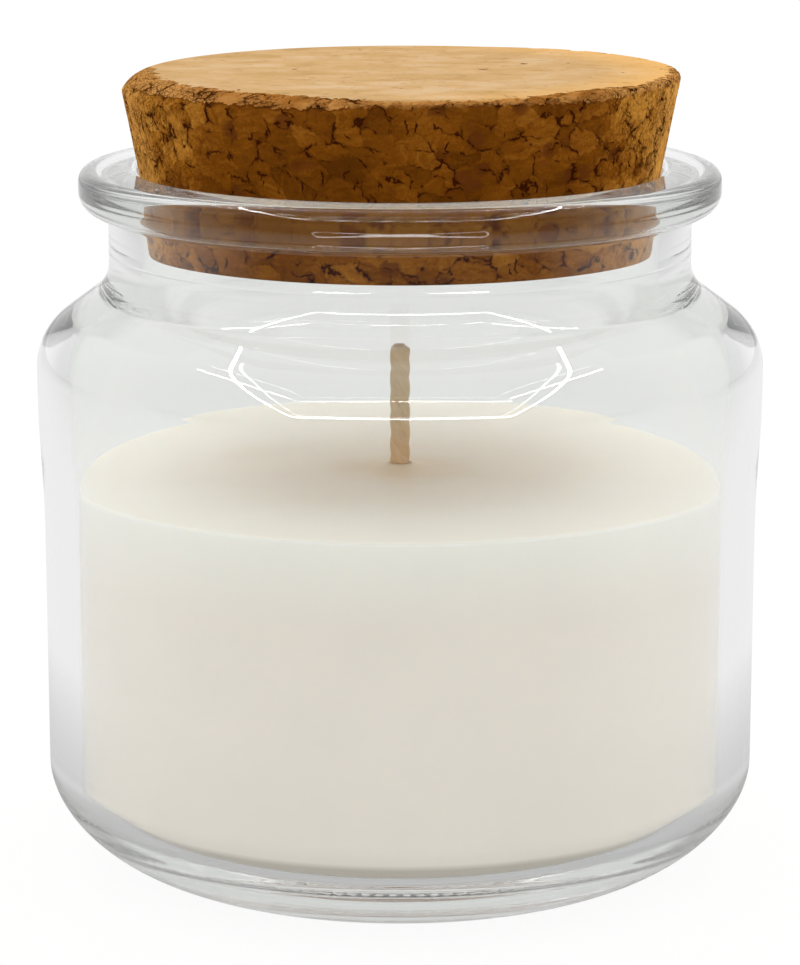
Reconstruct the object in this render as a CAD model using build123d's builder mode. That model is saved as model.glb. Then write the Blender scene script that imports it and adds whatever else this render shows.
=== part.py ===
from build123d import *
from math import cos, radians, tan
import os

# Candle in a clear glass jar with a tapered cork stopper.
# Millimetres, +Z up, origin at the centre of the ring that the jar stands on.

# Jar, outside
jar_radius = 50.0
body_draw = 0.66
body_height = 73.8
flare_drop = 12.0
flare_length = 10.0
flare_radius = 150.0
heel_width = 16.34
heel_height = 13.8
heel_handle_share = 0.47
ring_width = 2.5
push_up_height = 3.0
knurl_count = 120
knurl_width = 0.7
knurl_depth = 0.25

# Jar, shoulder and neck
shoulder_width = 10.1
shoulder_angle = 36.5
shoulder_radius = 8.7
neck_root_radius = 5.2
neck_height = 9.6
lip_overhang = 4.0
lip_height = 5.85
lip_root_radius = 0.8
lip_lower_radius = 2.8
lip_upper_radius = 1.7
mouth_edge_radius = 2.0
seam_drop = 5.5
seam_bead_radius = 0.2

# Jar, inside
body_wall = 4.35
shoulder_wall = 3.65
neck_wall = 4.4
base_thickness = 8.0
inner_flare_drop = 0.5
inner_heel_radius = 6.0
inner_shoulder_radius = 7.0
inner_neck_radius = 6.9

# Cork stopper: its head flares above the level where it meets the mouth, its plug narrows below
stopper_insert = 8.9
stopper_proud = 14.9
stopper_head_taper = 11.6
stopper_plug_taper = 6.0
stopper_waist_radius = 20.0
stopper_top_edge = 0.7
stopper_bottom_edge = 0.5
stopper_clearance = 0.1

# Wax
wax_gap = 0.3
wax_depth = 46.6
wax_edge_radius = 0.5
wick_rise_radius = 8.0
wick_rise_height = 0.9

# Wick, its steel tab and the pad under the tab
wick_radius = 1.4
wick_exposed = 15.1
embed_gap = 0.05
tab_radius = 10.0
tab_thickness = 0.3
tab_neck_wall = 0.4
tab_neck_height = 6.0
tab_neck_fillet = 0.5
pad_radius = 7.5
pad_thickness = 0.8

# How far a cut runs past what it cuts
overrun = 5.0

# Worked out from the sizes above
foot_radius = jar_radius - body_draw
flare_top = body_height - flare_drop
flare_bottom = flare_top - flare_length
ring_outer_radius = foot_radius - heel_width
ring_inner_radius = ring_outer_radius - ring_width
shoulder_slope = tan(radians(shoulder_angle))
neck_radius = jar_radius - shoulder_width
neck_foot = body_height + shoulder_width * shoulder_slope
lip_bottom = neck_foot + neck_height
lip_radius = neck_radius + lip_overhang
jar_height = lip_bottom + lip_height
mouth_radius = neck_radius - neck_wall
inner_foot_radius = foot_radius - body_wall
inner_body_radius = jar_radius - body_wall
inner_flare_top = flare_top - inner_flare_drop
inner_flare_bottom = flare_bottom - inner_flare_drop
shoulder_drop = shoulder_wall / cos(radians(shoulder_angle))
inner_body_height = body_height + body_wall * shoulder_slope - shoulder_drop
inner_neck_foot = body_height + (jar_radius - mouth_radius) * shoulder_slope - shoulder_drop
seat_height = jar_height - mouth_edge_radius
stopper_bottom = seat_height - stopper_insert
stopper_seat_radius = mouth_radius - stopper_clearance
stopper_top = seat_height + stopper_proud
stopper_top_radius = stopper_seat_radius + stopper_proud * tan(radians(stopper_head_taper))
stopper_bottom_radius = stopper_seat_radius - stopper_insert * tan(radians(stopper_plug_taper))
wax_radius = inner_foot_radius - wax_gap
wax_top = base_thickness + wax_depth
pad_top = base_thickness + pad_thickness
tab_top = pad_top + tab_thickness
wick_hole_radius = wick_radius + embed_gap
tab_neck_radius = wick_hole_radius + tab_neck_wall
tab_neck_top = tab_top + tab_neck_height
wick_top = wax_top + wick_rise_height + wick_exposed

os.makedirs("parts", exist_ok=True)

# Glass jar: one outline, up the outside, over the lip and down the inside, turned about the axis
with BuildPart() as glass_jar:
    with BuildSketch(Plane.XZ):
        with BuildLine():
            walls = FilletPolyline(
                (foot_radius, heel_height),
                (foot_radius, flare_bottom),
                (jar_radius, flare_top),
                (jar_radius, body_height),
                (neck_radius, neck_foot),
                (neck_radius, lip_bottom),
                (lip_radius, lip_bottom),
                (lip_radius, jar_height),
                (mouth_radius, jar_height),
                (mouth_radius, inner_neck_foot),
                (inner_body_radius, inner_body_height),
                (inner_body_radius, inner_flare_top),
                (inner_foot_radius, inner_flare_bottom),
                (inner_foot_radius, base_thickness),
                (0, base_thickness),
                radius=[
                    flare_radius,
                    flare_radius,
                    shoulder_radius,
                    neck_root_radius,
                    lip_root_radius,
                    lip_lower_radius,
                    lip_upper_radius,
                    mouth_edge_radius,
                    inner_neck_radius,
                    inner_shoulder_radius,
                    flare_radius,
                    flare_radius,
                    inner_heel_radius,
                ],
            )
            Line(walls @ 1, (0, push_up_height))
            dome_radius = (ring_inner_radius**2 + push_up_height**2) / (2 * push_up_height)
            RadiusArc((0, push_up_height), (ring_inner_radius, 0), dome_radius)
            Line((ring_inner_radius, 0), (ring_outer_radius, 0))
            Bezier(
                (ring_outer_radius, 0),
                (ring_outer_radius + heel_handle_share * heel_width, 0),
                (foot_radius, heel_height - heel_handle_share * heel_height),
                (foot_radius, heel_height),
            )
        make_face()
    revolve(axis=Axis.Z)
    # The mould's parting line shows as a fine raised ring on the neck
    with BuildSketch(Plane.XZ):
        with Locations((neck_radius, lip_bottom - seam_drop)):
            Circle(seam_bead_radius)
    revolve(axis=Axis.Z)
    # Fine grooves run across the ring that the jar stands on
    with BuildSketch(Plane.XY):
        with PolarLocations(ring_inner_radius + ring_width / 2, knurl_count, start_angle=180 / knurl_count):
            Rectangle(ring_width + 2 * overrun, knurl_width)
    extrude(amount=knurl_depth, mode=Mode.SUBTRACT)
glass_jar.part.label = "glass_jar"

# Cork stopper: a flared head over a plug that is wedged in the mouth, with softened edges
with BuildPart() as cork_stopper:
    with BuildSketch(Plane.XZ):
        with BuildLine():
            side = FilletPolyline(
                (0, stopper_bottom),
                (stopper_bottom_radius, stopper_bottom),
                (stopper_seat_radius, seat_height),
                (stopper_top_radius, stopper_top),
                (0, stopper_top),
                radius=[stopper_bottom_edge, stopper_waist_radius, stopper_top_edge],
            )
            Line(side @ 1, side @ 0)
        make_face()
    revolve(axis=Axis.Z)
cork_stopper.part.label = "cork_stopper"

# Wax: fills the jar just short of the glass, rises to the wick, and is moulded round the wick's foot
with BuildPart() as wax_fill:
    with BuildSketch(Plane.XZ):
        with BuildLine():
            surface = FilletPolyline(
                (0, base_thickness),
                (wax_radius, base_thickness),
                (wax_radius, wax_top),
                (wick_rise_radius, wax_top),
                radius=[inner_heel_radius, wax_edge_radius],
            )
            rise = TangentArc(surface @ 1, (wick_hole_radius, wax_top + wick_rise_height), tangent=(-1, 0))
            Polyline(rise @ 1, (0, wax_top + wick_rise_height), (0, base_thickness))
        make_face()
    revolve(axis=Axis.Z)
    with BuildSketch(Plane.XY.offset(base_thickness)):
        Circle(pad_radius + embed_gap)
    extrude(amount=pad_thickness, mode=Mode.SUBTRACT)
    with BuildSketch(Plane.XY.offset(pad_top)):
        Circle(tab_radius + embed_gap)
    extrude(amount=tab_thickness + embed_gap, mode=Mode.SUBTRACT)
    with BuildSketch(Plane.XY.offset(tab_top)):
        Circle(tab_neck_radius + tab_neck_fillet + embed_gap)
    extrude(amount=tab_neck_height + embed_gap, mode=Mode.SUBTRACT)
    with BuildSketch(Plane.XY.offset(tab_neck_top)):
        Circle(wick_hole_radius)
    extrude(until=Until.LAST, mode=Mode.SUBTRACT)
wax_fill.part.label = "wax_fill"

# Wick: round cotton, from the steel tab's foot up through the wax
with BuildPart() as wick:
    with BuildSketch(Plane.XY.offset(pad_top)):
        Circle(wick_radius)
    extrude(amount=wick_top - pad_top)
wick.part.label = "wick"

# Wick tab: a thin steel disc with a narrow neck that grips the wick
with BuildPart() as wick_sustainer:
    with BuildSketch(Plane.XY.offset(pad_top)):
        Circle(tab_radius)
    extrude(amount=tab_thickness)
    with BuildSketch(Plane.XY.offset(tab_top)):
        Circle(tab_neck_radius)
    extrude(amount=tab_neck_height)
    neck_root = wick_sustainer.edges().filter_by(GeomType.CIRCLE).filter_by(
        lambda edge: abs(edge.radius - tab_neck_radius) < embed_gap
    )
    fillet(neck_root.sort_by(Axis.Z)[0], tab_neck_fillet)
    with BuildSketch(Plane.XY.offset(pad_top)):
        Circle(wick_hole_radius)
    extrude(until=Until.LAST, mode=Mode.SUBTRACT)
wick_sustainer.part.label = "wick_sustainer"

# Pad: a round sticky pad between the jar's floor and the tab
with BuildPart() as adhesive_pad:
    with BuildSketch(Plane.XY.offset(base_thickness)):
        Circle(pad_radius)
    extrude(amount=pad_thickness)
adhesive_pad.part.label = "adhesive_pad"

for piece in (glass_jar, cork_stopper, wax_fill, wick, wick_sustainer, adhesive_pad):
    export_step(piece.part, f"parts/{piece.part.label}.step")
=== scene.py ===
import math

import bmesh
import bpy
from mathutils import Matrix, Vector, noise
from mathutils.geometry import interpolate_bezier


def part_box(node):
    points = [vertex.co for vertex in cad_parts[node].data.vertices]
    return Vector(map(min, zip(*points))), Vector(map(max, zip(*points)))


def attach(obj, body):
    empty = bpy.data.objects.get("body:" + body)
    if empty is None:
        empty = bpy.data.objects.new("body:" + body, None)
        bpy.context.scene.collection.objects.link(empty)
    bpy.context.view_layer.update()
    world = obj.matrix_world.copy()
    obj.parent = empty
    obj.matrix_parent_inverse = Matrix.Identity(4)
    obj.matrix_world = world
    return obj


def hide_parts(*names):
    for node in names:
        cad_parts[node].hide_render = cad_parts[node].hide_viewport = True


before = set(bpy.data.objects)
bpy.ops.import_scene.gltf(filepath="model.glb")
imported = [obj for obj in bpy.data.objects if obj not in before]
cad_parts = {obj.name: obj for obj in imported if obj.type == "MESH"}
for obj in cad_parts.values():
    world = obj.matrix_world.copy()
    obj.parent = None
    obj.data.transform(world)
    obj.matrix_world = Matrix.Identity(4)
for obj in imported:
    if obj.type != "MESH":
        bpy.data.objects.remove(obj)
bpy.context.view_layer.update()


# The jar: soda-lime glass, pressed and blown in a two-part mould, with a thick base.
# The mould leaves a fine ring on the neck where its halves meet, and grooves pressed
# across the ring that the jar stands on keep it from sliding on the line.
mm = 0.001
same_place = 0.001 * mm
jar_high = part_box("glass_jar")[1]
jar_radius = jar_high.x
jar_height = jar_high.z
body_draw = 0.66 * mm
body_height = 73.8 * mm
flare_drop = 12 * mm
flare_length = 10 * mm
flare_radius = 150 * mm
heel_width = 16.34 * mm
heel_height = 13.8 * mm
heel_handle_share = 0.47
heel_steps = 28
ring_width = 2.5 * mm
push_up_height = 3.0 * mm
push_up_steps = 8
knurl_count = 120
knurl_depth = 0.25 * mm
knurl_reach = 3.5 * mm
knurl_steps = 4
shoulder_width = 10.1 * mm
shoulder_angle = math.radians(36.5)
shoulder_radius = 8.7 * mm
neck_root_radius = 5.2 * mm
neck_height = 9.6 * mm
seam_drop = 5.5 * mm
seam_width = 0.4 * mm
seam_rise = 0.045 * mm
lip_overhang = 4.0 * mm
lip_height = 5.85 * mm
lip_root_radius = 0.8 * mm
lip_lower_radius = 2.8 * mm
lip_upper_radius = 1.7 * mm
mouth_edge_radius = 2.0 * mm
body_wall = 4.35 * mm
shoulder_wall = 3.65 * mm
neck_wall = 4.4 * mm
base_thickness = 8.0 * mm
inner_flare_drop = 0.5 * mm
inner_heel_radius = 6.0 * mm
inner_shoulder_radius = 7.0 * mm
inner_neck_radius = 6.9 * mm
air_film = 0.05 * mm

foot_radius = jar_radius - body_draw
flare_top = body_height - flare_drop
flare_bottom = flare_top - flare_length
ring_outer_radius = foot_radius - heel_width
ring_inner_radius = ring_outer_radius - ring_width
shoulder_slope = math.tan(shoulder_angle)
shoulder_drop = shoulder_wall / math.cos(shoulder_angle)
neck_radius = jar_radius - shoulder_width
lip_radius = neck_radius + lip_overhang
lip_bottom = jar_height - lip_height
neck_foot = lip_bottom - neck_height
seam_height = lip_bottom - seam_drop
mouth_radius = neck_radius - neck_wall
inner_radius = foot_radius - body_wall
inner_body_radius = inner_radius + body_draw
inner_body_height = body_height + (jar_radius - inner_body_radius) * shoulder_slope - shoulder_drop
inner_neck_foot = body_height + (jar_radius - mouth_radius) * shoulder_slope - shoulder_drop


def bend(start, corner, end, handle_share, steps):
    """Points of a round stretch from start to end that leaves both ends towards the corner."""
    return interpolate_bezier(
        start, start.lerp(corner, handle_share), end.lerp(corner, handle_share), end, steps
    )


def outline(corners, fineness=math.radians(5), closest=0.03 * mm):
    """Points of an outline through corners (r, z, radius), with an arc at each corner that has a radius.

    fineness is the turn between an arc's points, and tiny arcs have them no closer than closest.
    """
    places = [Vector((r, z)) for r, z, radius in corners]
    points = [places[0]]
    for i in range(1, len(corners) - 1):
        here, radius = places[i], corners[i][2]
        back = (places[i - 1] - here).normalized()
        ahead = (places[i + 1] - here).normalized()
        turn = math.pi - back.angle(ahead)
        reach = radius * math.tan(turn / 2)
        handle_share = 4 / 3 * math.tan(turn / 4) / math.tan(turn / 2)
        steps = max(3, min(round(turn / fineness), round(radius * turn / closest)) + 1)
        points += bend(here + back * reach, here, here + ahead * reach, handle_share, steps)
    return points + [places[-1]]


def turned(points, turns):
    """A closed skin made by turning an outline of (r, z) points about the Z axis, a quarter at a time."""
    bm = bmesh.new()
    verts = [bm.verts.new((p.x, 0, p.y)) for p in points]
    edges = [bm.edges.new(pair) for pair in zip(verts, verts[1:]) if pair[0].co.x + pair[1].co.x > 0]
    axis = {"cent": (0, 0, 0), "axis": (0, 0, 1)}
    bmesh.ops.spin(bm, geom=verts + edges, angle=math.tau / 4, steps=turns // 4, **axis)
    quarter = bm.verts[:] + bm.edges[:] + bm.faces[:]
    for turn in (1, 2, 3):
        copy = bmesh.ops.duplicate(bm, geom=quarter)["geom"]
        moved = [part for part in copy if isinstance(part, bmesh.types.BMVert)]
        way = Matrix.Rotation(turn * math.tau / 4, 3, "Z")
        bmesh.ops.rotate(bm, verts=moved, cent=(0, 0, 0), matrix=way)
    bmesh.ops.remove_doubles(bm, verts=bm.verts, dist=same_place)
    bmesh.ops.recalc_face_normals(bm, faces=bm.faces)
    return bm


def piece(name, bm, material, body, slot, *nodes):
    """Makes a smooth-shaded object of a bmesh that rides on a body and stands for CAD nodes."""
    mesh = bpy.data.meshes.new(name)
    for face in bm.faces:
        face.smooth = True
    bm.to_mesh(mesh)
    bm.free()
    made = bpy.data.objects.new(name, mesh)
    bpy.context.scene.collection.objects.link(made)
    mesh.materials.append(material)
    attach(made, body)
    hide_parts(*nodes)


def linear(hex_colour):
    """An sRGB hex colour as linear red, green, blue and alpha."""
    shares = [int(hex_colour[i : i + 2], 16) / 255 for i in (0, 2, 4)]
    return tuple(s / 12.92 if s <= 0.04045 else ((s + 0.055) / 1.055) ** 2.4 for s in shares) + (1.0,)


def add(tree, kind, **given):
    """Adds a node with its settings and links.

    Names in lower case are settings, and stops are a ramp's positions and colours from first to last.
    The others are inputs, by name or as _number: values, sockets, or nodes, which give their first
    output in use.
    """
    node = tree.nodes.new("ShaderNode" + kind)
    for name, value in given.items():
        if name == "stops":
            elements = node.color_ramp.elements
            for element, (position, colour) in zip((elements[0], elements[1]), (value[0], value[-1])):
                element.position = position
                element.color = colour
            for position, colour in value[1:-1]:
                elements.new(position).color = colour
        elif name.islower():
            setattr(node, name, value)
        else:
            socket = node.inputs[int(name[1:]) if name[1:].isdigit() else name.replace("_", " ")]
            if isinstance(value, bpy.types.Node):
                value = next(output for output in value.outputs if output.enabled)
            if isinstance(value, bpy.types.NodeSocket):
                tree.links.new(value, socket)
            else:
                socket.default_value = value
    return node


def blank(name):
    """A material with an empty node tree, and that tree."""
    material = bpy.data.materials.new(name)
    material.use_nodes = True
    material.node_tree.nodes.clear()
    return material, material.node_tree


# Clear soda-lime glass, fire-polished by the mould's heat: fully smooth, a trace of grey in its mass.
# The light that falls on what stands inside, and its shadow, go straight through the glass.
clear_glass, tree = blank("soda_lime_glass")
glass = add(
    tree,
    "BsdfPrincipled",
    Base_Color=linear("FAFBFA"),
    Roughness=0.0,
    IOR=1.52,
    Transmission_Weight=1.0,
)
straight = add(tree, "BsdfTransparent", Color=linear("F8F9F8"))
path = add(tree, "LightPath")
lit_through = add(tree, "MixShader", _0=path.outputs["Is Diffuse Ray"], _1=glass, _2=straight)
unshaded = add(tree, "MixShader", _0=path.outputs["Is Shadow Ray"], _1=lit_through, _2=straight)
add(tree, "OutputMaterial", Surface=unshaded)

# One outline, up the outside, over the lip and down the inside, then the underside and the heel.
# The mould's ring is finer than the CAD's, which would draw a dark line across the neck.
walls = outline(
    [
        (foot_radius, heel_height, 0),
        (foot_radius, flare_bottom, flare_radius),
        (jar_radius, flare_top, flare_radius),
        (jar_radius, body_height, shoulder_radius),
        (neck_radius, neck_foot, neck_root_radius),
        (neck_radius, seam_height - seam_width / 2, seam_width / 2),
        (neck_radius + seam_rise, seam_height, seam_width / 2),
        (neck_radius, seam_height + seam_width / 2, seam_width / 2),
        (neck_radius, lip_bottom, lip_root_radius),
        (lip_radius, lip_bottom, lip_lower_radius),
        (lip_radius, jar_height, lip_upper_radius),
        (mouth_radius, jar_height, mouth_edge_radius),
        (mouth_radius, inner_neck_foot, inner_neck_radius),
        (inner_body_radius, inner_body_height, inner_shoulder_radius),
        (inner_body_radius, flare_top - inner_flare_drop, flare_radius),
        (inner_radius, flare_bottom - inner_flare_drop, flare_radius),
        (inner_radius, base_thickness - air_film, inner_heel_radius),
        (0, base_thickness - air_film, 0),
    ]
)
dome_radius = (ring_inner_radius**2 + push_up_height**2) / (2 * push_up_height)
dome = []
for i in range(push_up_steps + 1):
    r = ring_inner_radius * i / push_up_steps
    dome.append(Vector((r, push_up_height - dome_radius + math.sqrt(dome_radius**2 - r**2))))
ring_in, ring_out = Vector((ring_inner_radius, 0)), Vector((ring_outer_radius, 0))
ring = [ring_in.lerp(ring_out, share) for share in (0.33, 0.67)]
heel_top = Vector((foot_radius, heel_height))
heel = bend(ring_out, Vector((foot_radius, 0)), heel_top, heel_handle_share, heel_steps)
jar = turned(walls + dome + ring + heel[:-1] + walls[:1], knurl_steps * knurl_count)


def on_knurls(co, below):
    """Whether a point of the underside lies where the grooves run, and lower than below."""
    return ring_inner_radius - knurl_reach < co.xy.length < ring_outer_radius + knurl_reach and co.z < below


# The grooves have sharp edges, which show through the base as fine ticks.
for vert in jar.verts:
    if on_knurls(vert.co, knurl_depth):
        phase = math.atan2(vert.co.y, vert.co.x) / math.tau * knurl_count % 1
        groove = knurl_depth * max(0, 1 - 3 * abs(phase - 0.5))
        vert.co.z = max(vert.co.z, groove)
for edge in jar.edges:
    if all(on_knurls(vert.co, 1.5 * knurl_depth) for vert in edge.verts):
        edge.smooth = False
piece("glass_jar_body", jar, clear_glass, "jar", "clear_glass", "glass_jar")


# The wick's foot: a pad of sticky foam on the jar's floor and a stamped tab of tinned steel on it,
# whose neck is squeezed round the wick. The wax later covers both.

# Tinplate: rolled steel with a thin coat of tin, pale grey and half bright, clouded by the rolls.
tinned_steel, tree = blank("tinplate")
rolled = add(tree, "TexNoise", Scale=1 / (1.6 * mm), Detail=3.0)
clouding = add(tree, "MapRange", Value=rolled, To_Min=0.28, To_Max=0.45)
steel = add(tree, "BsdfPrincipled", Base_Color=linear("D9D8D2"), Metallic=1.0, Roughness=clouding)
add(tree, "OutputMaterial", Surface=steel)
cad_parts["wick_sustainer"].data.materials[0] = tinned_steel

# Foam with glue on both faces: off-white, dull and pocked by cells of about 0.4 mm.
foam, tree = blank("foam_pad")
cells = add(tree, "TexVoronoi", Scale=1 / (0.4 * mm))
pores = add(tree, "Bump", Height=cells, Distance=0.05 * mm)
rubber = add(tree, "BsdfPrincipled", Base_Color=linear("EAE8E1"), Roughness=0.8, Normal=pores)
add(tree, "OutputMaterial", Surface=rubber)
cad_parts["adhesive_pad"].data.materials[0] = foam


# The wick: a round cord of three cotton plies laid to the left, primed with wax that fills its
# grooves, and cut across at the top, where the cut fibres stay pale. Its foot sits in the tab's neck.
wick_low, wick_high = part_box("wick")
wick_radius = wick_high.x
wick_length = wick_high.z - wick_low.z
wax_depth = 46.6 * mm
wax_top = base_thickness + wax_depth
ply_count = 3
ply_share = 0.76
ply_radius = wick_radius * ply_share
ply_orbit = wick_radius - ply_radius
ply_sides = 20
ply_steps = 200
lay_length = 8.0 * mm
ragged_end = 0.12 * mm
drawn_in_share = 0.7
fibre_width = 0.2 * mm
fibre_length = 1.2 * mm

# Primed cotton: warm grey yarn with fine fibres along the lay, stained orange-brown near the wax.
# The fibres are drawn ten times as coarse as real ones, so that they show.
primed_cotton, tree = blank("primed_cotton")
place = add(tree, "TexCoord").outputs["Object"]
x, y, z = add(tree, "SeparateXYZ", _0=place).outputs
angle = add(tree, "Math", operation="ARCTAN2", _0=y, _1=x)
lay = add(tree, "Math", operation="MULTIPLY_ADD", _0=z, _1=math.tau / lay_length, _2=angle)
fibre_share = fibre_width / (fibre_length * wick_radius)
along = add(tree, "Math", operation="MULTIPLY", _0=z, _1=fibre_share)
fibre_place = add(tree, "CombineXYZ", X=lay, Y=along)
fibres = add(
    tree, "TexNoise", Vector=fibre_place, Scale=wick_radius / fibre_width, Detail=4.0, Roughness=0.7
)
stain = add(tree, "MapRange", Value=z, From_Min=wax_top + 1 * mm, From_Max=wax_top + 8 * mm)
stain_edge = add(tree, "TexNoise", Vector=place, Scale=1 / (1.4 * mm), Detail=2.0)
stained = add(tree, "Math", operation="MULTIPLY_ADD", _0=stain_edge, _1=0.5, _2=stain)
stain_share = add(tree, "Math", _0=stained, _1=-0.25)
yarn = add(tree, "ValToRGB", stops=((0.0, linear("D3AC7E")), (1.0, linear("CEBA9B"))), _0=stain_share)
fibre_tone = add(tree, "MapRange", Value=fibres, From_Min=0.3, From_Max=0.65, To_Min=0.55, To_Max=1.1)
streaked = add(tree, "Mix", data_type="RGBA", blend_type="MULTIPLY", _0=0.4, _6=yarn, _7=fibre_tone)
cut_end = add(
    tree, "MapRange", Value=z, From_Min=wick_high.z - 0.55 * mm, From_Max=wick_high.z - 0.25 * mm
)
tipped = add(tree, "Mix", data_type="RGBA", _0=cut_end, _6=streaked, _7=linear("EDE3CC"))
nap = add(tree, "Bump", Height=fibres, Distance=0.06 * mm, Strength=0.8)
thread = add(tree, "BsdfPrincipled", Base_Color=tipped, Roughness=0.6, Normal=nap)
add(tree, "OutputMaterial", Surface=thread)

# Each ply is a round bar turned about the axis as it climbs, a little shorter than the one before,
# because ends at the same height would shade each other, and its cut end is drawn in.
wick = bmesh.new()
for ply in range(ply_count):
    off_axis = Matrix.Translation((ply_orbit, 0, wick_low.z))
    start = Matrix.Rotation(math.tau * ply / ply_count, 4, "Z") @ off_axis
    foot = bmesh.ops.create_circle(wick, cap_ends=True, segments=ply_sides, radius=ply_radius, matrix=start)
    bmesh.ops.spin(
        wick,
        geom=list({face for vert in foot["verts"] for face in vert.link_faces}),
        cent=(0, 0, 0),
        axis=(0, 0, 1),
        dvec=(0, 0, (wick_length - ply * ragged_end) / ply_steps),
        angle=-math.tau * wick_length / lay_length,
        steps=ply_steps,
    )
for face in wick.faces:
    centre = face.calc_center_median()
    if len(face.verts) > 4 and centre.z > wax_top:
        for vert in face.verts:
            vert.co = centre.lerp(vert.co, drawn_in_share)
bmesh.ops.remove_doubles(wick, verts=wick.verts, dist=same_place)
bmesh.ops.recalc_face_normals(wick, faces=wick.faces)
piece("wick_cord", wick, primed_cotton, "jar", "cotton", "wick")


# The wax: a cream container blend, poured round the wick and left to set. It rises a little
# where it wets the wick, and has drawn back from the glass by a hair.
wax_low, wax_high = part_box("wax_fill")
pad_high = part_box("adhesive_pad")[1]
tab_low, tab_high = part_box("wick_sustainer")
wax_radius = wax_high.x
wax_heel_radius = 5.8 * mm
wax_edge_radius = 0.5 * mm
wax_turns = 192
wick_rise_radius = 8.0 * mm
wick_rise_steps = 14
wick_rise_handle_share = 0.8
hole_gap = 0.05 * mm
wick_hole = wick_radius + hole_gap
tab_hole = tab_high.x + hole_gap
pad_hole = pad_high.x + hole_gap
tab_neck_hole = wick_radius + 1.0 * mm
tab_roof = tab_low.z + 0.35 * mm

# Container wax: soft and milky, so light spreads under its skin. Its top is painted lighter than its
# side as painted light, and warmer and darker round the wick as painted shade. Where its side meets
# the jar's floor it is darker, a painted contact shadow. It has faint clouds a centimetre across where
# it set unevenly.
cream_wax, tree = blank("container_wax")
place = add(tree, "TexCoord").outputs["Object"]
x, y, z = add(tree, "SeparateXYZ", _0=place).outputs
level = add(tree, "CombineXYZ", X=x, Y=y)
from_wick = add(tree, "VectorMath", operation="LENGTH", _0=level)
clouds = add(tree, "TexNoise", Vector=place, Scale=1 / (13 * mm), Detail=3.0, Roughness=0.55)
wander = add(tree, "Math", operation="MULTIPLY_ADD", _0=clouds, _1=14 * mm, _2=from_wick)
outward = add(tree, "MapRange", Value=wander, From_Min=5 * mm, From_Max=48 * mm)
# Painted light and shade: the top is lighter than the side, and warmer and darker round the wick.
top_light_and_wick_shade = add(
    tree,
    "ValToRGB",
    stops=((0.02, linear("F0E0C4")), (0.35, linear("F9F1E3")), (0.9, linear("FCF7EC"))),
    _0=outward,
)
top_light_and_wick_shade.color_ramp.interpolation = "EASE"
surface = add(tree, "MapRange", Value=z, From_Min=wax_top - 0.15 * mm, From_Max=wax_top - 0.02 * mm)
filled = add(tree, "MapRange", Value=z, From_Min=wax_low.z, From_Max=wax_top)
side = add(
    tree,
    "ValToRGB",
    stops=((0.0, linear("E6DED6")), (0.75, linear("E5DCD4")), (1.0, linear("EAE8E2"))),
    _0=filled,
)
cream = add(tree, "Mix", data_type="RGBA", _0=surface, _6=side, _7=top_light_and_wick_shade)
# Painted contact shadow: the wax is darker below about 3 mm up its side, where it meets the jar's floor.
shadow_low, shadow_high = wax_low.z + 3.1 * mm, wax_low.z + 3.8 * mm
foot = add(tree, "MapRange", Value=z, From_Min=shadow_low, From_Max=shadow_high, To_Min=0.55, To_Max=0.0)
contact_shadowed = add(tree, "Mix", data_type="RGBA", _0=foot, _6=cream, _7=linear("8E8270"))
cloud_tone = add(tree, "MapRange", Value=clouds, From_Min=0.3, From_Max=0.7, To_Min=0.985, To_Max=1.01)
clouded = add(tree, "Mix", data_type="RGBA", blend_type="MULTIPLY", _0=1.0, _6=contact_shadowed, _7=cloud_tone)
swell = add(tree, "TexNoise", Vector=place, Scale=1 / (7 * mm), Detail=2.0)
skin = add(tree, "Bump", Height=swell, Distance=0.12 * mm, Strength=0.6)
set_wax = add(
    tree,
    "BsdfPrincipled",
    Base_Color=clouded,
    Roughness=0.5,
    IOR=1.44,
    Specular_IOR_Level=0.3,
    Subsurface_Weight=0.25,
    Subsurface_Radius=(1.0, 0.75, 0.5),
    Subsurface_Scale=3 * mm,
    Normal=skin,
)
add(tree, "OutputMaterial", Surface=set_wax)

# From the floor up the side, in over the top, up the rise, and down round the wick, tab and pad.
poured = outline(
    [
        (tab_neck_hole, base_thickness, 0),
        (wax_radius, base_thickness, wax_heel_radius),
        (wax_radius, wax_top, wax_edge_radius),
        (wick_rise_radius, wax_top, 0),
    ]
)
level_top = [poured[-2].lerp(poured[-1], share) for share in (0.25, 0.5, 0.75)]
rise_corner, rise_top = Vector((wick_rise_radius / 2, wax_top)), Vector((wick_hole, wax_high.z))
rise = bend(poured[-1], rise_corner, rise_top, wick_rise_handle_share, wick_rise_steps)
recess = [
    Vector(corner)
    for corner in (
        (wick_hole, tab_high.z),
        (tab_neck_hole, tab_high.z),
        (tab_neck_hole, tab_roof),
        (tab_hole, tab_roof),
        (tab_hole, tab_low.z),
        (pad_hole, tab_low.z),
        (pad_hole, base_thickness),
    )
]
wax = turned(poured[1:-1] + level_top + rise + recess + poured[1:2], wax_turns)
piece("wax_block", wax, cream_wax, "jar", "wax", "wax_fill")


# The stopper: cork granules pressed together with a binder, cut from the block, ground to a taper
# and sanded flat on top. It is wedged in the mouth. Grinding has torn granules out of its side and
# its top edge, and use has worn that edge round on the left.
cork_low, cork_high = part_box("cork_stopper")
cork_radius = cork_high.x
stopper_clearance = 0.1 * mm
stopper_plug_taper = math.radians(6.0)
stopper_waist_radius = 20 * mm
stopper_top_edge = 0.7 * mm
stopper_bottom_edge = 0.5 * mm
seat_height = jar_height - mouth_edge_radius
seat_radius = mouth_radius - stopper_clearance
plug_radius = seat_radius - (seat_height - cork_low.z) * math.tan(stopper_plug_taper)
granule = 3.4 * mm
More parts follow.
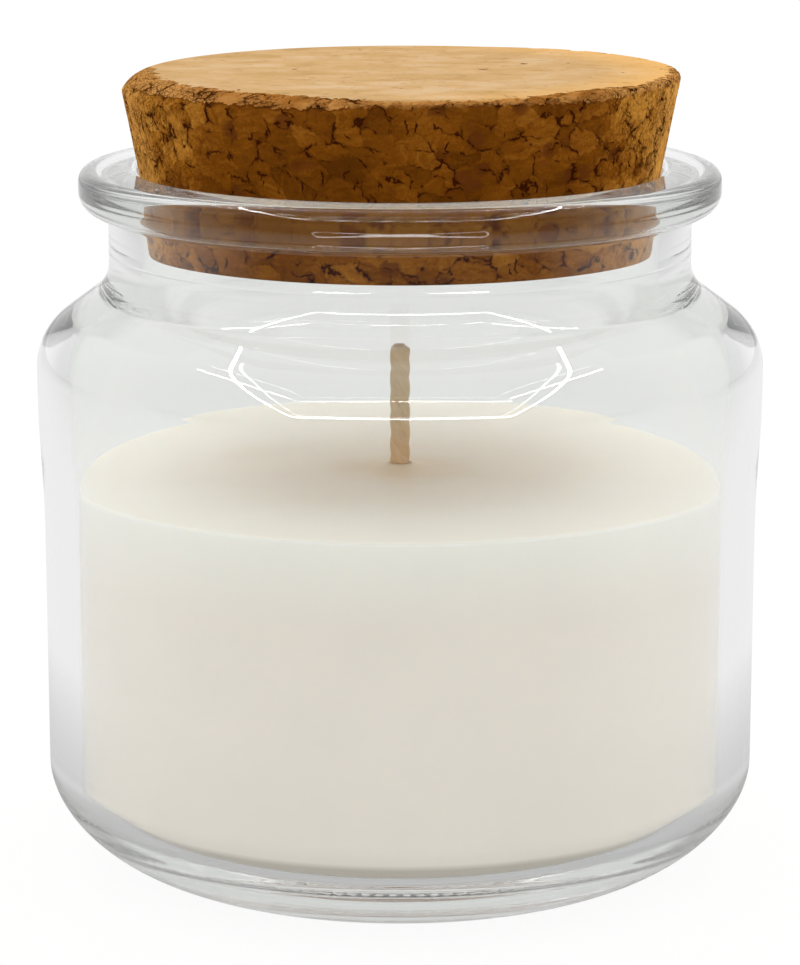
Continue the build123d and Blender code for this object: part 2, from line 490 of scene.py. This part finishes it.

# Agglomerated cork: brown granules of slightly different tones, short dark pores, and thin tapering
# cracks where the binder has let go. Sanding leaves the top pale and its torn edge orange. The side's
# brown is partly painted shade, its far left and right carry painted rim light, and the top's rounded
# edge is painted a warmer brown as painted sheen. It is matt, with a little dust on it.
agglomerate, tree = blank("agglomerated_cork")
place = add(tree, "TexCoord").outputs["Object"]
x, y, z = add(tree, "SeparateXYZ", _0=place).outputs
level = add(tree, "CombineXYZ", X=x, Y=y)
from_axis = add(tree, "VectorMath", operation="LENGTH", _0=level)
inward = add(tree, "Math", operation="SUBTRACT", _0=cork_radius, _1=from_axis)
below_top = add(tree, "Math", operation="SUBTRACT", _0=cork_high.z, _1=z)
off_middle = add(tree, "Math", operation="ABSOLUTE", _0=x)
ends = add(tree, "MapRange", Value=off_middle, From_Min=23 * mm, From_Max=33 * mm)

# The granules are flat flakes that lie aslant. Some, and all at the two ends, stand on edge, where
# their grain looks finer.
wobble = add(tree, "TexNoise", Vector=place, Scale=1 / (4 * mm), Detail=4.0, Roughness=0.6)
bent = add(
    tree,
    "VectorMath",
    operation="MULTIPLY_ADD",
    _0=wobble.outputs["Color"],
    _1=(4 * mm, 4 * mm, 4 * mm),
    _2=place,
)
aslant = add(
    tree, "Mapping", vector_type="TEXTURE", Vector=bent, Rotation=(0, 0.45, 0), Scale=(1.35, 1.0, 0.75)
)
grains = add(tree, "TexVoronoi", Vector=aslant, Scale=1 / granule)
chance = add(tree, "SeparateColor", _0=grains.outputs["Color"])
joints = add(tree, "TexVoronoi", feature="DISTANCE_TO_EDGE", Vector=aslant, Scale=1 / granule)
flat = add(tree, "Mapping", Vector=bent, Scale=(1, 1, 4.0))
upright = add(tree, "Mapping", Vector=bent, Rotation=(0, 0.35, 0), Scale=(4.0, 2.0, 1))
some_stand = add(tree, "Math", operation="GREATER_THAN", _0=chance.outputs["Green"], _1=0.85)
ends_stand = add(tree, "Math", operation="GREATER_THAN", _0=ends, _1=0.35)
stands = add(tree, "Math", operation="MAXIMUM", _0=some_stand, _1=ends_stand)
lie = add(tree, "Mix", data_type="VECTOR", _0=stands, _4=flat, _5=upright)
growth = add(tree, "TexNoise", Vector=lie, Scale=1 / (3 * mm), Detail=5.0, Roughness=0.6)
broad = add(tree, "TexNoise", Vector=place, Scale=1 / (11 * mm), Detail=1.0)
dust = add(tree, "TexNoise", Vector=place, Scale=1 / (0.4 * mm), Detail=2.0, Roughness=0.7)

# The side: a darker brown that is partly painted shade, darker towards the mouth, lighter inside it
# as painted light, golden at its far left and right as painted rim light, and with a calm brown band
# where the neck has pressed it smooth.
# Painted rim light: the dust lifts the tone more towards the far left and right.
dust_and_rim_light = add(tree, "MapRange", Value=ends, To_Min=0.25, To_Max=1.1)
# Painted light: the part inside the neck is lighter, in place of the haze of the glass in front of it.
painted_light_in_neck = add(tree, "MapRange", Value=z, From_Min=seat_height, From_Max=seat_height - 1 * mm, To_Max=0.3)
tone = add(tree, "Math", operation="MULTIPLY_ADD", _0=chance.outputs["Red"], _1=0.22, _2=-0.36)
for pattern, share in ((growth, 0.5), (broad, 0.5), (dust, dust_and_rim_light)):
    tone = add(tree, "Math", operation="MULTIPLY_ADD", _0=pattern, _1=share, _2=tone)
tone = add(tree, "Math", _0=tone, _1=0.08)
tone = add(tree, "Math", operation="MULTIPLY_ADD", _0=below_top, _1=-0.16 / (14 * mm), _2=tone)
tone = add(tree, "Math", _0=tone, _1=painted_light_in_neck)
# The side's brown ramp: darker than the cork's own, partly as painted shade.
shaded_bark = add(
    tree,
    "ValToRGB",
    stops=(
        (0.2, linear("4E2906")),
        (0.45, linear("6B3C0B")),
        (0.65, linear("875419")),
        (0.95, linear("B07A32")),
    ),
    _0=tone,
)
# Painted rim light: golden where the side turns away to the far left and right.
aside = add(tree, "Math", operation="DIVIDE", _0=x, _1=from_axis)
aside_either = add(tree, "Math", operation="ABSOLUTE", _0=aside)
rim_light_share = add(tree, "MapRange", Value=aside_either, From_Min=0.88, From_Max=1.0, To_Max=0.55)
painted_rim_light = add(tree, "Mix", data_type="RGBA", _0=rim_light_share, _6=shaded_bark, _7=linear("DEA55A"))
above_plug = add(
    tree, "MapRange", Value=z, From_Min=seat_height - 4.5 * mm, From_Max=seat_height - 3.5 * mm
)
in_mouth = add(tree, "MapRange", Value=z, From_Min=seat_height, From_Max=seat_height - 0.5 * mm)
pressed = add(tree, "Math", operation="MULTIPLY", _0=above_plug, _1=in_mouth)
calm_share = add(tree, "Math", operation="MULTIPLY", _0=pressed, _1=0.7)
side = add(tree, "Mix", data_type="RGBA", _0=calm_share, _6=painted_rim_light, _7=linear("6A4415"))

# The sanded top: pale and faintly streaked, more orange towards its edge on the right.
drawn_out = add(tree, "Mapping", Vector=bent, Scale=(0.55, 1, 1))
streaks = add(tree, "TexNoise", Vector=drawn_out, Scale=1 / (5 * mm), Detail=5.0, Roughness=0.6)
broad_share = add(tree, "Math", operation="MULTIPLY", _0=broad, _1=0.3)
cloudy = add(tree, "Math", operation="MULTIPLY_ADD", _0=streaks, _1=0.7, _2=broad_share)
granular = add(tree, "MapRange", Value=chance.outputs["Red"], To_Min=-0.06, To_Max=0.06)
sanding = add(tree, "Math", _0=cloudy, _1=granular)
sanded = add(
    tree,
    "ValToRGB",
    stops=((0.32, linear("AC8E62")), (0.48, linear("B99A6F")), (0.68, linear("C4AB89"))),
    _0=sanding,
)
near_edge = add(tree, "MapRange", Value=inward, From_Min=12 * mm, From_Max=1 * mm, To_Max=0.75)
rightward = add(tree, "MapRange", Value=x, From_Min=-5 * mm, From_Max=30 * mm)
orange = add(tree, "Math", operation="MULTIPLY", _0=near_edge, _1=rightward)
top_face = add(tree, "Mix", data_type="RGBA", _0=orange, _6=sanded, _7=linear("DFAE68"))
# Painted sheen: the top's rounded edge is a warmer brown, in place of the orange sheen that the flat top
# shows.
edge_sheen_share = add(tree, "MapRange", Value=below_top, From_Min=0.05 * mm, From_Max=0.3 * mm, To_Max=0.9)
painted_edge_sheen = add(tree, "Mix", data_type="RGBA", _0=edge_sheen_share, _6=top_face, _7=linear("A87438"))

# The torn strip along the top edge: wide on the left, frayed on the right, none in the middle and
# at the rear. Below it and below the top the side begins along a ragged line.
ragged = add(tree, "TexNoise", Vector=bent, Scale=1 / (1.6 * mm), Detail=3.0, Roughness=0.6)
step_down = add(tree, "Math", operation="MULTIPLY_ADD", _0=ragged, _1=1.7 * mm, _2=below_top)
on_top = add(tree, "MapRange", Value=step_down, From_Min=1.75 * mm, From_Max=1.0 * mm)
inward_share = add(tree, "Math", operation="MULTIPLY", _0=inward, _1=0.45)
down_share = add(tree, "Math", operation="MULTIPLY", _0=below_top, _1=1.7)
off_edge = add(tree, "CombineXYZ", X=inward_share, Y=down_share)
to_edge = add(tree, "VectorMath", operation="LENGTH", _0=off_edge)
strip_reach = add(tree, "Math", operation="MULTIPLY_ADD", _0=ragged, _1=-3.0 * mm, _2=to_edge)
chipped = add(
    tree, "MapRange", Value=x, From_Min=4 * mm, From_Max=-12 * mm, To_Min=-1.3 * mm, To_Max=0.7 * mm
)
left_corner = add(tree, "MapRange", Value=x, From_Min=-23 * mm, From_Max=-33 * mm, To_Max=1.2 * mm)
left_width = add(tree, "Math", operation="SUBTRACT", _0=left_corner, _1=0.6 * mm)
frayed = add(
    tree, "MapRange", Value=x, From_Min=6 * mm, From_Max=24 * mm, To_Min=-1.3 * mm, To_Max=0.3 * mm
)
right_corner = add(tree, "MapRange", Value=x, From_Min=26 * mm, From_Max=36 * mm, To_Max=1.8 * mm)
right_width = add(tree, "Math", operation="SUBTRACT", _0=frayed, _1=right_corner)
rear_loss = add(tree, "MapRange", Value=y, From_Min=2 * mm, From_Max=14 * mm, To_Max=2.6 * mm)
left_or_chips = add(tree, "Math", operation="MAXIMUM", _0=chipped, _1=left_width)
front_width = add(tree, "Math", operation="MAXIMUM", _0=left_or_chips, _1=right_width)
strip_width = add(tree, "Math", operation="SUBTRACT", _0=front_width, _1=rear_loss)
strip = add(tree, "Math", operation="LESS_THAN", _0=strip_reach, _1=strip_width)
strip_free = add(tree, "Math", operation="SUBTRACT", _0=1.0, _1=strip)
sanded_zone = add(tree, "Math", operation="MULTIPLY", _0=on_top, _1=strip_free)
side_or_top = add(tree, "Mix", data_type="RGBA", _0=on_top, _6=side, _7=painted_edge_sheen)
torn_edge = add(tree, "ValToRGB", stops=((0.3, linear("8E5A26")), (0.7, linear("BA8549"))), _0=tone)
edged = add(tree, "Mix", data_type="RGBA", _0=strip, _6=side_or_top, _7=torn_edge)

# Dark marks of the side: pores of two directions, cracks between granules where they are loose,
# and crumbs at the ends and in the torn strip. The band in the mouth has few, the top none.
flecks = []
for lean, odds in ((0.6, 0.78), (-1.3, 0.8)):
    leaning = add(tree, "Mapping", Vector=bent, Rotation=(0, lean, 0), Scale=(6, 1, 1))
    pores = add(tree, "TexVoronoi", Vector=leaning, Scale=1 / (4 * mm))
    pore_chance = add(tree, "SeparateColor", _0=pores.outputs["Color"])
    pore_size = add(tree, "MapRange", Value=pore_chance.outputs["Blue"], From_Min=odds, To_Max=0.28)
    pore_depth = add(tree, "Math", operation="SUBTRACT", _0=pore_size, _1=pores)
    flecks.append(add(tree, "MapRange", Value=pore_depth, From_Max=0.05))
pore_share = add(tree, "Math", operation="MAXIMUM", _0=flecks[0], _1=flecks[1])
loose = add(tree, "TexNoise", Vector=place, Scale=1 / (2.4 * mm), Detail=2.0, Roughness=0.6)
crack_width = add(tree, "MapRange", Value=loose, From_Min=0.46, From_Max=0.66, To_Max=0.055)
into_crack = add(tree, "Math", operation="SUBTRACT", _0=crack_width, _1=joints)
crack_share = add(tree, "MapRange", Value=into_crack, From_Max=0.015)
crumbs = add(tree, "TexVoronoi", feature="DISTANCE_TO_EDGE", Vector=lie, Scale=1 / (1.6 * mm))
crumb_lines = add(tree, "MapRange", Value=crumbs, From_Min=0.09, From_Max=0.03)
strip_crumbs = add(tree, "Math", operation="MULTIPLY_ADD", _0=strip, _1=0.25, _2=loose)
crumbling = add(tree, "Math", operation="MULTIPLY_ADD", _0=ends, _1=0.3, _2=strip_crumbs)
crumbled = add(tree, "MapRange", Value=crumbling, From_Min=0.66, From_Max=0.82, To_Max=0.8)
crumb_share = add(tree, "Math", operation="MULTIPLY", _0=crumb_lines, _1=crumbled)
pores_and_cracks = add(tree, "Math", operation="MAXIMUM", _0=pore_share, _1=crack_share)
side_marks = add(tree, "Math", operation="MAXIMUM", _0=pores_and_cracks, _1=crumb_share)
for zone, remaining in ((pressed, 0.25), (sanded_zone, 0.0)):
    spared = add(tree, "MapRange", Value=zone, To_Min=1.0, To_Max=remaining)
    side_marks = add(tree, "Math", operation="MULTIPLY", _0=side_marks, _1=spared)

# Marks of the sanded top: a few dark pinholes, and short faint scratches from left to right.
pinhole_place = add(tree, "Mapping", Vector=bent, Scale=(0.7, 1, 1))
pinholes = add(tree, "TexVoronoi", voronoi_dimensions="2D", Vector=pinhole_place, Scale=1 / (4.5 * mm))
pinhole_chance = add(tree, "SeparateColor", _0=pinholes.outputs["Color"]).outputs["Red"]
pinhole_size = add(tree, "Math", operation="MULTIPLY_ADD", _0=pinhole_chance, _1=0.9, _2=-0.79)
pinhole_depth = add(tree, "Math", operation="SUBTRACT", _0=pinhole_size, _1=pinholes)
pinhole_share = add(tree, "MapRange", Value=pinhole_depth, From_Max=0.04, To_Max=0.9)
top_marks = add(tree, "Math", operation="MULTIPLY", _0=pinhole_share, _1=sanded_zone)
dark = add(tree, "Math", operation="MAXIMUM", _0=side_marks, _1=top_marks)
scratch_place = add(tree, "Mapping", Vector=bent, Scale=(0.4, 2.2, 1))
scratches = add(tree, "TexVoronoi", voronoi_dimensions="2D", Vector=scratch_place, Scale=1 / (4 * mm))
scratch_chance = add(tree, "SeparateColor", _0=scratches.outputs["Color"]).outputs["Red"]
scratch_size = add(tree, "MapRange", Value=scratch_chance, From_Min=0.8, To_Max=0.2)
scratch_depth = add(tree, "Math", operation="SUBTRACT", _0=scratch_size, _1=scratches)
scratch_share = add(tree, "MapRange", Value=scratch_depth, From_Max=0.15, To_Max=0.7)
scratched = add(tree, "Math", operation="MULTIPLY", _0=scratch_share, _1=sanded_zone)

# Shade: brown in the hollows that the mesh has, soft along loose joints, and darker just below the
# torn strip.
torn_place = add(tree, "Attribute", attribute_name="torn").outputs["Fac"]
hollowed = add(tree, "Math", operation="MULTIPLY", _0=torn_place, _1=0.7)
joint_shade = add(tree, "MapRange", Value=into_crack, From_Min=-0.09, From_Max=0.01, To_Max=0.55)
loosened = add(tree, "MapRange", Value=loose, From_Min=0.42, From_Max=0.58)
loose_shade = add(tree, "Math", operation="MULTIPLY", _0=joint_shade, _1=loosened)
past_strip = add(tree, "Math", operation="SUBTRACT", _0=strip_reach, _1=strip_width)
brink = add(tree, "MapRange", Value=past_strip, From_Min=0.5 * mm, From_Max=0.1 * mm, To_Max=0.75)
off_strip = add(tree, "Math", operation="LESS_THAN", _0=strip, _1=0.5)
brink_shade = add(tree, "Math", operation="MULTIPLY", _0=brink, _1=off_strip)
either_shade = add(tree, "Math", operation="MAXIMUM", _0=loose_shade, _1=brink_shade)
off_sanded = add(tree, "Math", operation="SUBTRACT", _0=1.0, _1=sanded_zone)
shade = add(tree, "Math", operation="MULTIPLY", _0=either_shade, _1=off_sanded)
marked = edged
for share, hex_colour in ((scratched, "8A6234"), (hollowed, "5A2E10"), (shade, "4A2206"), (dark, "331304")):
    marked = add(tree, "Mix", data_type="RGBA", _0=share, _6=marked, _7=linear(hex_colour))

# The relief is as deep as 0.3 mm on the side and a quarter of that on the sanded top.
relief = add(tree, "Math", operation="MULTIPLY_ADD", _0=dark, _1=-1.0, _2=growth)
for pattern in (chance.outputs["Red"], dust):
    relief = add(tree, "Math", operation="MULTIPLY_ADD", _0=pattern, _1=0.35, _2=relief)
relief_share = add(tree, "MapRange", Value=sanded_zone, To_Min=1.0, To_Max=0.25)
relief = add(tree, "Math", operation="MULTIPLY", _0=relief, _1=relief_share)
grit = add(tree, "Bump", Height=relief, Distance=0.3 * mm, Strength=0.7)
cork = add(
    tree,
    "BsdfPrincipled",
    Base_Color=marked,
    Roughness=0.85,
    IOR=1.4,
    Specular_IOR_Level=0.0,
    Sheen_Weight=0.25,
    Sheen_Roughness=0.3,
    Sheen_Tint=linear("DB9338"),
    Normal=grit,
)
add(tree, "OutputMaterial", Surface=cork)

seat_depth = 0.12 * mm
crack_depth = 0.3 * mm
pit_size = 2.4 * mm
pit_depth = 0.6 * mm
chip_depth = 0.5 * mm
full_tear = 0.4 * mm
worn_radius = 4.5 * mm
side_step = 0.42 * mm
edge_step = 0.32 * mm
fine_below = 2.5 * mm
fine_inward = 5 * mm
plug_turns = 640


def stepped(points, step):
    """The same outline with its points no more than a step apart."""
    fine = [points[0]]
    for start, end in zip(points, points[1:]):
        parts = math.ceil((end - start).length / step)
        fine += [start.lerp(end, i / parts) for i in range(1, parts + 1)]
    return fine


def within(value):
    """A value kept between 0 and 1."""
    return max(0, min(1, value))


ground = outline(
    [
        (0, cork_low.z, 0),
        (plug_radius, cork_low.z, stopper_bottom_edge),
        (seat_radius, seat_height, stopper_waist_radius),
        (cork_radius, cork_high.z, stopper_top_edge),
        (0, cork_high.z, 0),
    ],
    math.radians(20),
)
underside = [Vector((plug_radius * share, cork_low.z)) for share in (0, 0.25, 0.5, 0.75, 0.9)]
sanded_top = [Vector((cork_radius * share, cork_high.z)) for share in (0.8, 0.7, 0.55, 0.4, 0.2, 0)]
rim = Vector((cork_radius - fine_inward, cork_high.z))
shoulder = next(i for i, point in enumerate(ground) if point.y > cork_high.z - 2 * mm)
head = ground[shoulder] - ground[shoulder - 1]
edge_start = ground[shoulder - 1].lerp(ground[shoulder], 1 - fine_below / head.length)
flank = stepped(ground[1:shoulder] + [edge_start], side_step)
top_edge = stepped([edge_start] + ground[shoulder:-1] + [rim], edge_step)[1:]
plug = turned(underside + flank + top_edge + sanded_top, plug_turns)

# Granules sit a little in or out, open joints and torn pits sink into the side, chips are missing
# from the top edge, and at last that edge is worn round on the left.
hollow = plug.verts.layers.float.new("torn")
plug.normal_update()
for vert in plug.verts:
    on_side = 1 - within(abs(vert.normal.z) * 1.5 - 0.4)
    to_rim = math.hypot(cork_radius - vert.co.xy.length, cork_high.z - vert.co.z)
    gaps, seeds = noise.voronoi(vert.co / granule)
    seat = seat_depth * on_side * (0.5 + 0.5 * noise.noise(seeds[0] * 3.7))
    slack = within(5 * noise.noise(vert.co / (3 * mm)) - 0.6)
    crack = crack_depth * max(0, 1 - (gaps[1] - gaps[0]) / 0.12) * slack * on_side
    gaps, seeds = noise.voronoi(vert.co / pit_size + Vector((5, 5, 5)))
    bite = within(4 * (0.6 - gaps[0]))
    pit = pit_depth * bite * on_side * (noise.noise(seeds[0] * 2.9) > 0.33)
    chip = chip_depth * bite * within(1.7 - to_rim / mm) * (noise.noise(seeds[0] * 1.7) > 0.05)
    worn = within(0.5 - 0.75 * vert.co.x / cork_radius)
    vert[hollow] = min(1, (crack + pit + 0.25 * chip) / full_tear)
    vert.co -= vert.normal * (seat + crack + pit + chip)
    reach = Vector((vert.co.xy.length - cork_radius + worn_radius, vert.co.z - cork_high.z + worn_radius))
    if reach.x > 0 and reach.y > 0 and reach.length > worn_radius:
        back = reach * (worn_radius / reach.length - 1) * worn
        vert.co.z += back.y
        vert.co.xy *= 1 + back.x / vert.co.xy.length
piece("cork_plug", plug, agglomerate, "stopper", "cork", "cork_stopper")


# The studio: a pale paper floor inside a light tent, which glows from above, behind and both sides.
# Its front is open towards the camera and dimmer.
floor_radius = 4.0
disc = bmesh.new()
bmesh.ops.create_circle(disc, cap_ends=True, segments=96, radius=floor_radius)
floor_mesh = bpy.data.meshes.new("floor")
disc.to_mesh(floor_mesh)
disc.free()
floor = bpy.data.objects.new("floor", floor_mesh)
bpy.context.scene.collection.objects.link(floor)

# Matt paper, which the camera sees nearly white. Through glass and in reflections it shows a painted
# shadow close to the jar and looks dimmer far out to both sides, and in reflections it also falls off
# towards the camera.
paper, tree = blank("studio_paper")
matt = add(tree, "BsdfDiffuse", Color=linear("F0F0EE"))
white = add(tree, "Emission", Color=(1, 1, 1, 1), Strength=1.0)
place = add(tree, "TexCoord").outputs["Object"]
x, y, z = add(tree, "SeparateXYZ", _0=place).outputs
from_jar = add(tree, "VectorMath", operation="LENGTH", _0=place)
# Painted shadow: the paper's glow seen through glass and in reflections is darker close to the jar.
painted_jar_shadow = add(
    tree, "MapRange", Value=from_jar, From_Min=45 * mm, From_Max=130 * mm, To_Min=0.5, To_Max=0.87
)
off_middle = add(tree, "Math", operation="ABSOLUTE", _0=x)
to_sides = add(
    tree, "MapRange", Value=off_middle, From_Min=200 * mm, From_Max=500 * mm, To_Min=1.0, To_Max=0.8
)
dimming = add(tree, "Math", operation="MULTIPLY", _0=painted_jar_shadow, _1=to_sides)
dimmer = add(tree, "Emission", Color=dimming, Strength=1.0)
to_camera = add(
    tree, "MapRange", Value=y, From_Min=-350 * mm, From_Max=-50 * mm, To_Min=0.12, To_Max=1.0
)
falling_off = add(tree, "Math", operation="MULTIPLY", _0=to_camera, _1=dimming)
mirrored = add(tree, "Emission", Color=falling_off, Strength=1.0)
path = add(tree, "LightPath")
through = add(tree, "Math", operation="MULTIPLY", _0=path.outputs["Is Transmission Ray"], _1=0.95)
direct = add(tree, "Math", operation="MULTIPLY", _0=path.outputs["Is Camera Ray"], _1=0.93)
seen = add(tree, "MixShader", _0=through, _1=matt, _2=dimmer)
seen = add(tree, "MixShader", _0=path.outputs["Is Glossy Ray"], _1=seen, _2=mirrored)
seen = add(tree, "MixShader", _0=direct, _1=seen, _2=white)
add(tree, "OutputMaterial", Surface=seen)
floor_mesh.materials.append(paper)

# The tent's cloth: brightest at the rear, white to the camera, darker in reflections towards the
# front, and greyer through the glass, which gives the jar its grey edges.
tent = bpy.data.worlds.new("light_tent")
bpy.context.scene.world = tent
tent.use_nodes = True
tree = tent.node_tree
tree.nodes.clear()
x, y, z = add(tree, "SeparateXYZ", _0=add(tree, "TexCoord").outputs["Generated"]).outputs
rear_share = add(tree, "MapRange", Value=y, From_Min=-1.0, From_Max=1.0)
glow = add(
    tree,
    "ValToRGB",
    stops=((0.06, (1.0, 1.0, 1.0, 1)), (0.4, (1.2, 1.2, 1.2, 1)), (0.8, (1.7, 1.7, 1.7, 1))),
    _0=rear_share,
)
lighting = add(tree, "Background", Color=glow, Strength=1.0)
to_rear = add(tree, "Math", operation="MULTIPLY_ADD", _0=y, _1=0.5, _2=0.5)
in_gloss = add(
    tree,
    "ValToRGB",
    stops=((0.12, (0.06, 0.06, 0.06, 1)), (0.45, (0.4, 0.4, 0.4, 1)), (0.8, (1.0, 1.0, 1.0, 1))),
    _0=to_rear,
)
mirrored = add(tree, "Background", Color=in_gloss, Strength=1.0)
through_glass = add(
    tree, "ValToRGB", stops=((0.2, (0.12, 0.12, 0.115, 1)), (0.6, (0.68, 0.695, 0.675, 1))), _0=to_rear
)
greyer = add(tree, "Background", Color=through_glass, Strength=1.0)
white = add(tree, "Background", Color=(1, 1, 1, 1), Strength=1.0)
path = add(tree, "LightPath")
seen = lighting
for ray, look in (("Is Glossy Ray", mirrored), ("Is Transmission Ray", greyer), ("Is Camera Ray", white)):
    seen = add(tree, "MixShader", _0=path.outputs[ray], _1=seen, _2=look)
add(tree, "OutputWorld", Surface=seen)

# Two frames of thin lamp bars hang over the jar, one leaning away to the front. Only glass and gloss
# show them, as white lines: the light that the object is seen by comes from the tent.
bar_glow = 180
over_left, over_right = Vector((-0.46, 0.25, 1.0)), Vector((0.46, 0.25, 1.0))
low_left, low_right = Vector((-0.88, -1.36, 0.4)), Vector((0.9, -1.36, 0.4))
for name, start, end, width in (
    ("front_bar", low_left, low_right, 0.03),
    ("left_bar", low_left, over_left, 0.013),
    ("right_bar", low_right, over_right, 0.013),
    ("rear_bar", over_left, over_right, 0.006),
    ("upper_front_bar", Vector((-0.76, -1.02, 1.0)), Vector((0.84, -1.02, 1.0)), 0.008),
    ("upper_left_bar", Vector((-0.7, -0.86, 1.0)), Vector((-0.67, 0.2, 1.0)), 0.009),
    ("upper_right_bar", Vector((0.7, -0.86, 1.0)), Vector((0.67, 0.2, 1.0)), 0.009),
):
    along = end - start
    tube = bpy.data.lights.new(name, "AREA")
    tube.shape = "RECTANGLE"
    tube.size = along.length
    tube.size_y = width
    tube.energy = bar_glow * along.length * width
    lamp = bpy.data.objects.new(name, tube)
    bpy.context.scene.collection.objects.link(lamp)
    middle = (start + end) / 2
    across = along.cross(middle).normalized()
    facing = along.cross(across).normalized()
    if facing.dot(middle) < 0:
        across, facing = -across, -facing
    turn = Matrix((along.normalized(), across, facing)).transposed()
    lamp.matrix_world = Matrix.LocRotScale(middle, turn, None)
    lamp.visible_diffuse = False

# The camera: 0.49 m in front of the jar and a little above it, as the photograph was taken.
# Light crosses many faces of clear glass on its way there, so it may bounce often.
eye_distance = 0.486
eye_height = 0.1603
look_down = 12.54
camera = bpy.data.cameras.new("camera")
camera.sensor_width = 36
camera.lens = 133.2
eye = bpy.data.objects.new("camera", camera)
bpy.context.scene.collection.objects.link(eye)
eye.location = (0, -eye_distance, eye_height)
eye.rotation_euler = (math.radians(90 - look_down), 0, 0)
bpy.context.scene.camera = eye
bpy.context.scene.view_settings.view_transform = "Standard"
bpy.context.scene.cycles.transmission_bounces = 24
bpy.context.scene.cycles.glossy_bounces = 24
bpy.context.scene.cycles.max_bounces = 32
